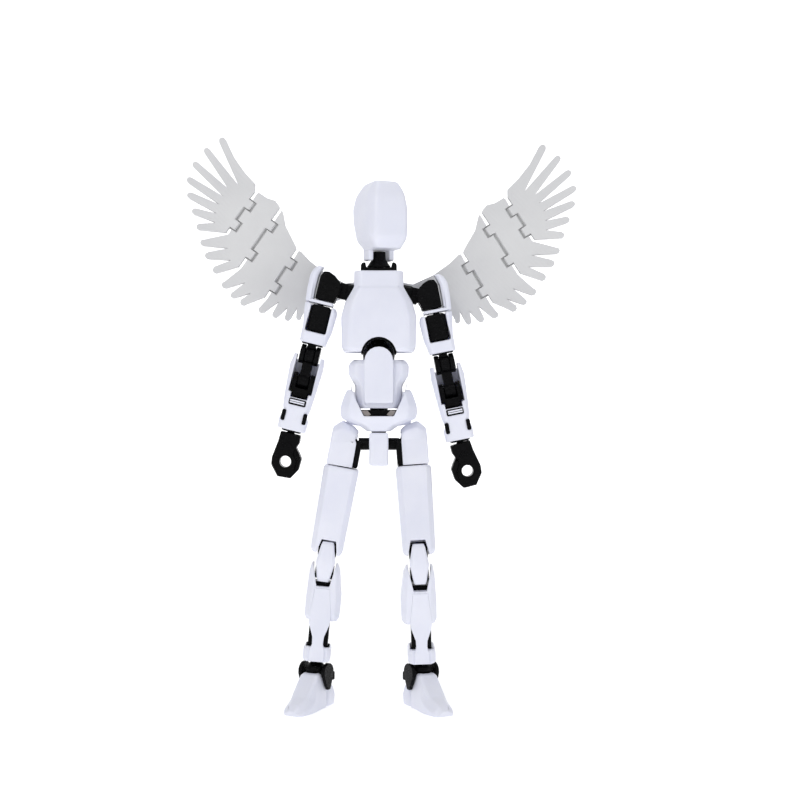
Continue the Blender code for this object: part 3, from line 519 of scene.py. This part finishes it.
def add_pelvis():
    """The shell, with lips beside the abdomen and a skirt over the hips' tops behind."""
    middle = joint_frame("waist_turn")
    lips = []
    for sign in SIDES.values():
        lip = [(sign * x, z) for x, z in PELVIS_LIP]
        lips.append(slab(middle, lip, -5.35, -4.85))
        lips.append(slab(middle, lip, 4.7, 5.1))
    skirt = [(-9.0, -1.2), (-8.4, -3.6), (-3.6, -4.2), (3.6, -4.2), (8.4, -3.6), (9.0, -1.2)]
    rounded("pelvis_armor", 0.6, add=lips + [slab(middle, skirt, 4.65, 5.25)])


def add_pelvis_details():
    """What shows behind the pelvis's open front: the black floor and two brown-grey patches,
    painted highlights on the black joint.
    """
    middle = joint_frame("waist_turn")
    floor = slab(middle, [(-3.6, -2.2), (3.6, -2.2), (5.3, 0.35), (-5.3, 0.35)], -3.5, -2.75)
    finished("pelvis_liner", floor, 0.15, BLACK, "pelvis")
    for side, sign in SIDES.items():
        # Each patch is a painted highlight on the black joint
        highlight_patch = slab(middle, [(sign * x, z) for x, z in PELVIS_HIGHLIGHT], -3.95, -3.4)
        finished(f"pelvis_highlight_{side}", highlight_patch, 0.18, PAINTED_HIGHLIGHT, "pelvis")


# ---------------------------------------------------------------- waist, neck, hips and ankles

NECK_RIBS = 5
RIB_PITCH = 0.36
DOME_RADIUS = 2.75
DOME_HEIGHT = 2.2
# The thigh's dome grows by this share of its height above DOME_START, but only from
# DOME_REACH inside the hip outward
DOME_GROWTH = 0.17
DOME_START = 2.0
DOME_REACH = 3.2


def add_arch_liner():
    """The black rim inside the chest's arch, round the waist's ball."""
    outline = arc((0, 0), 4.56, range(0, 181, 10)) + arc((0, 0), 4.05, range(180, -1, -10))
    liner = slab(joint_frame("waist_bend"), outline, -6.1, -4.4)
    black_round("chest_arch_liner", liner, 0.06, "chest")


def add_neck():
    """A round neck that flares into the collar, with ribs across the flare."""
    profile = [(1.2, -2.6), (1.2, -0.35), (3.05, -0.3), (3.05, 0.15)]
    for rib in range(NECK_RIBS):
        height = 0.3 + RIB_PITCH * rib
        radius = 2.95 - 0.24 * rib
        profile += [(radius, height), (radius - 0.16, height + RIB_PITCH / 2)]
    profile += [(1.8, 2.3), (1.75, 3.9)]
    neck = black_round("neck_flare", turned(joint_frame("neck_turn"), profile), 0.06, "neck")
    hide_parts("neck_link")


def taller_dome(side):
    """Raises the thigh's dome toward the pelvis, within its swing."""
    origin = Vector(JOINTS[f"hip_swing_{side}"]["pos_m"])
    up = Vector(JOINTS[f"thigh_turn_{side}"]["axis"])

    def reshape(shape):
        for vert in shape.verts:
            height = (vert.co - origin).dot(up) - DOME_START * MM
            if height > 0.0 and abs(vert.co.x) > abs(origin.x) - DOME_REACH * MM:
                vert.co += up * height * DOME_GROWTH

    return reshape


def add_ankle_dome(side):
    """The round top of the ankle's ball, between the shin's cuff and the foot."""
    base = 0.1
    profile = [(2.55, -0.15), (DOME_RADIUS, base)]
    for degrees in range(12, 61, 12):
        angle = math.radians(degrees)
        profile.append((DOME_RADIUS * math.cos(angle), base + DOME_HEIGHT * math.sin(angle)))
    dome = turned(joint_frame(f"ankle_turn_{side}"), profile)
    black_round(f"ankle_dome_{side}", dome, 0.1, f"shin_{side}")


# ---------------------------------------------------------------- wing hinges

WING_FOLDS = {"inner": ("d", "c"), "middle": ("c", "b"), "outer": ("b", "a")}
INNER_BODY = {"inner": "wing_root", "middle": "wing_fold_d", "outer": "wing_fold_c"}
HINGE_LENGTH = {"inner": 15.6, "middle": 19.3, "outer": 13.5}
# How far the hinge's axis lies inward of the line where its plates meet
HINGE_INSET = 0.5
# The two tabs' places from the hinge's middle, as shares of its length; then how far past
# them the sheet of painted shade runs, how far it reaches across the hinge, and half its thickness
TABS_AT = (-0.23, 0.26)
PAST_TAB = 1.6
SHADE_SHEET_REACH = (-0.5, 2.0)
SHADE_SHEET_HALF = 0.16


def add_hinge_shade_sheet(side, sign, fold):
    """A thin darker grey sheet at the middle of two plates' thickness, in the gap between them:
    painted shade that shows as the hinge's line.
    """
    hinge = JOINTS[f"wing_fold_{fold}_{side}"]
    down = Vector(hinge["axis"]).normalized()
    if down.z > 0:
        down = -down
    inward = down.cross(Vector((0.0, 1.0, 0.0))).normalized()
    if inward.x * sign > 0:
        inward = -inward
    centre = Vector(hinge["pos_m"]) - inward * HINGE_INSET * MM
    inner, outer = (f"wing_segment_{letter}_{side}" for letter in WING_FOLDS[fold])
    first, last = (share * HINGE_LENGTH[fold] for share in TABS_AT)
    start, end = first - PAST_TAB, last + PAST_TAB
    low, high = SHADE_SHEET_REACH
    shape = bmesh.new()
    rows = []
    for y in (-SHADE_SHEET_HALF * MM, SHADE_SHEET_HALF * MM):
        rows.append([
            shape.verts.new(centre + down * (a * MM) + inward * (b * MM) + Vector((0.0, y, 0.0)))
            for a, b in ((start, low), (end, low), (end, high), (start, high))
        ])
    plates = [welded(frame["nodes"][node].data) for node in (inner, outer)]
    # Only the part inside the gap between the plates stays: painted shade along the hinge
    shade_sheet = carved(skin(shape, rows), [], plates)
    body = f"{INNER_BODY[fold]}_{side}"
    finished(f"wing_hinge_shade_{fold}_{side}", shade_sheet, 0.03, PAINTED_SHADE_GREY, body, FACET_EDGE_ANGLE, 1)


# ---------------------------------------------------------------- every node's piece

# Widths of the rounding, by the start of a node's name
WIDTHS = {
    "head_shell": 0.9, "chest_front_armor": 0.8, "chest_back_armor": 0.8, "abdomen_armor": 0.6,
    "thigh": 0.6, "shin_armor": 0.22, "foot_shell": 0.7, "heel": 0.6, "forearm_armor": 0.5,
    "bicep_armor": 0.45, "shoulder_armor": 0.6, "kneecap": 0.5, "wing": 0.12,
}
OTHER_WIDTH = 0.3
SHAPED_APART = ("hand", "neck_link", "pelvis_armor", "thigh_upper")
for NODE in sorted(node for node in frame["nodes"] if not node.startswith(SHAPED_APART)):
    WIDTH = next((w for start, w in WIDTHS.items() if NODE.startswith(start)), OTHER_WIDTH)
    rounded(NODE, WIDTH)
for SIDE, SIGN in SIDES.items():
    add_hand(SIDE, SIGN)
    add_forearm_details(SIDE, SIGN)
    add_wrist_collar(SIDE, SIGN)
    add_elbow_details(SIDE, SIGN)
    rounded(f"thigh_upper_armor_{SIDE}", 0.5, reshape=taller_dome(SIDE))
    add_ankle_dome(SIDE)
    for FOLD in WING_FOLDS:
        add_hinge_shade_sheet(SIDE, SIGN, FOLD)
add_pelvis()
add_pelvis_details()
add_arch_liner()
add_neck()


# ---------------------------------------------------------------- floor, light and camera

FIGURE = Vector((-0.72, 0.86, 0.0)) * MM
CAMERA_PLACE = Vector((0.0, -350.0, 80.0)) * MM + FIGURE
CAMERA_TARGET = Vector((0.0, 0.0, 80.5)) * MM + FIGURE
LIT_POINT = (0, 0, 0.08)
# The floor's profile, as (depth, height) in metres, and half its width
SWEEP = ((-1.6, 0.0), (0.9, 0.0), (1.3, 0.06), (1.6, 0.25), (1.8, 0.6), (1.85, 1.6))
SWEEP_HALF = 2.5


def add_floor():
    """A pale sweep that stays level under the figure and rises far behind it."""
    shape = bmesh.new()
    rows = []
    for y, z in SWEEP:
        rows.append([shape.verts.new((x, y, z)) for x in (-SWEEP_HALF, SWEEP_HALF)])
    for low, high in zip(rows, rows[1:]):
        shape.faces.new((low[0], low[1], high[1], high[0]))
    mesh = bpy.data.meshes.new("floor")
    shape.to_mesh(mesh)
    shape.free()
    mesh.shade_smooth()
    floor = bpy.data.objects.new("floor", mesh)
    bpy.context.scene.collection.objects.link(floor)
    paint = Paint("floor_paper", (0.93, 0.93, 0.94, 1.0), 0.75)
    clouds = paint.spread(paint.noise(6.0))
    paint.tint(clouds, (0.925, 0.925, 0.935, 1.0), (0.94, 0.94, 0.95, 1.0))
    paint.shader.inputs["Emission Color"].default_value = (1.0, 1.0, 1.0, 1.0)
    paint.shader.inputs["Emission Strength"].default_value = 0.38
    mesh.materials.append(paint.material)


def add_light(name, place, size, power, color=(1.0, 1.0, 1.0), target=LIT_POINT):
    light = bpy.data.lights.new(name, "AREA")
    light.shape = "DISK"
    light.size = size
    light.energy = power
    light.color = color
    lamp = bpy.data.objects.new(name, light)
    lamp.location = place
    lamp.rotation_mode = "QUATERNION"
    lamp.rotation_quaternion = (Vector(place) - Vector(target)).to_track_quat("Z", "Y")
    bpy.context.scene.collection.objects.link(lamp)


def add_camera():
    camera = bpy.data.cameras.new("camera")
    camera.sensor_width = 36.0
    camera.lens = 60.04
    camera.shift_x = 0.0265
    camera.clip_start = 0.01
    camera.clip_end = 20.0
    holder = bpy.data.objects.new("camera", camera)
    holder.location = CAMERA_PLACE
    holder.rotation_mode = "QUATERNION"
    holder.rotation_quaternion = (CAMERA_PLACE - CAMERA_TARGET).to_track_quat("Z", "Y")
    bpy.context.scene.collection.objects.link(holder)
    bpy.context.scene.camera = holder


def add_world():
    world = bpy.data.worlds.new("studio")
    world.use_nodes = True
    background = world.node_tree.nodes["Background"]
    background.inputs["Color"].default_value = (0.96, 0.97, 1.0, 1.0)
    background.inputs["Strength"].default_value = 0.52
    bpy.context.scene.world = world


add_floor()
add_world()
add_light("key_softbox", (-0.35, -0.75, 0.75), 0.6, 1.5, (1.0, 0.99, 0.97))
add_light("spark", (-0.18, -0.45, 0.42), 0.035, 0.30)
add_light("fill_softbox", (0.65, -0.55, 0.35), 0.6, 0.5, (0.95, 0.97, 1.0))
add_light("top_softbox", (0.0, 0.15, 0.9), 0.5, 1.2)
add_light("back_wash", (0.0, 1.1, 0.7), 0.8, 3.0, target=(0, 1.7, 0.2))
add_camera()
bpy.context.scene.view_settings.view_transform = "Standard"
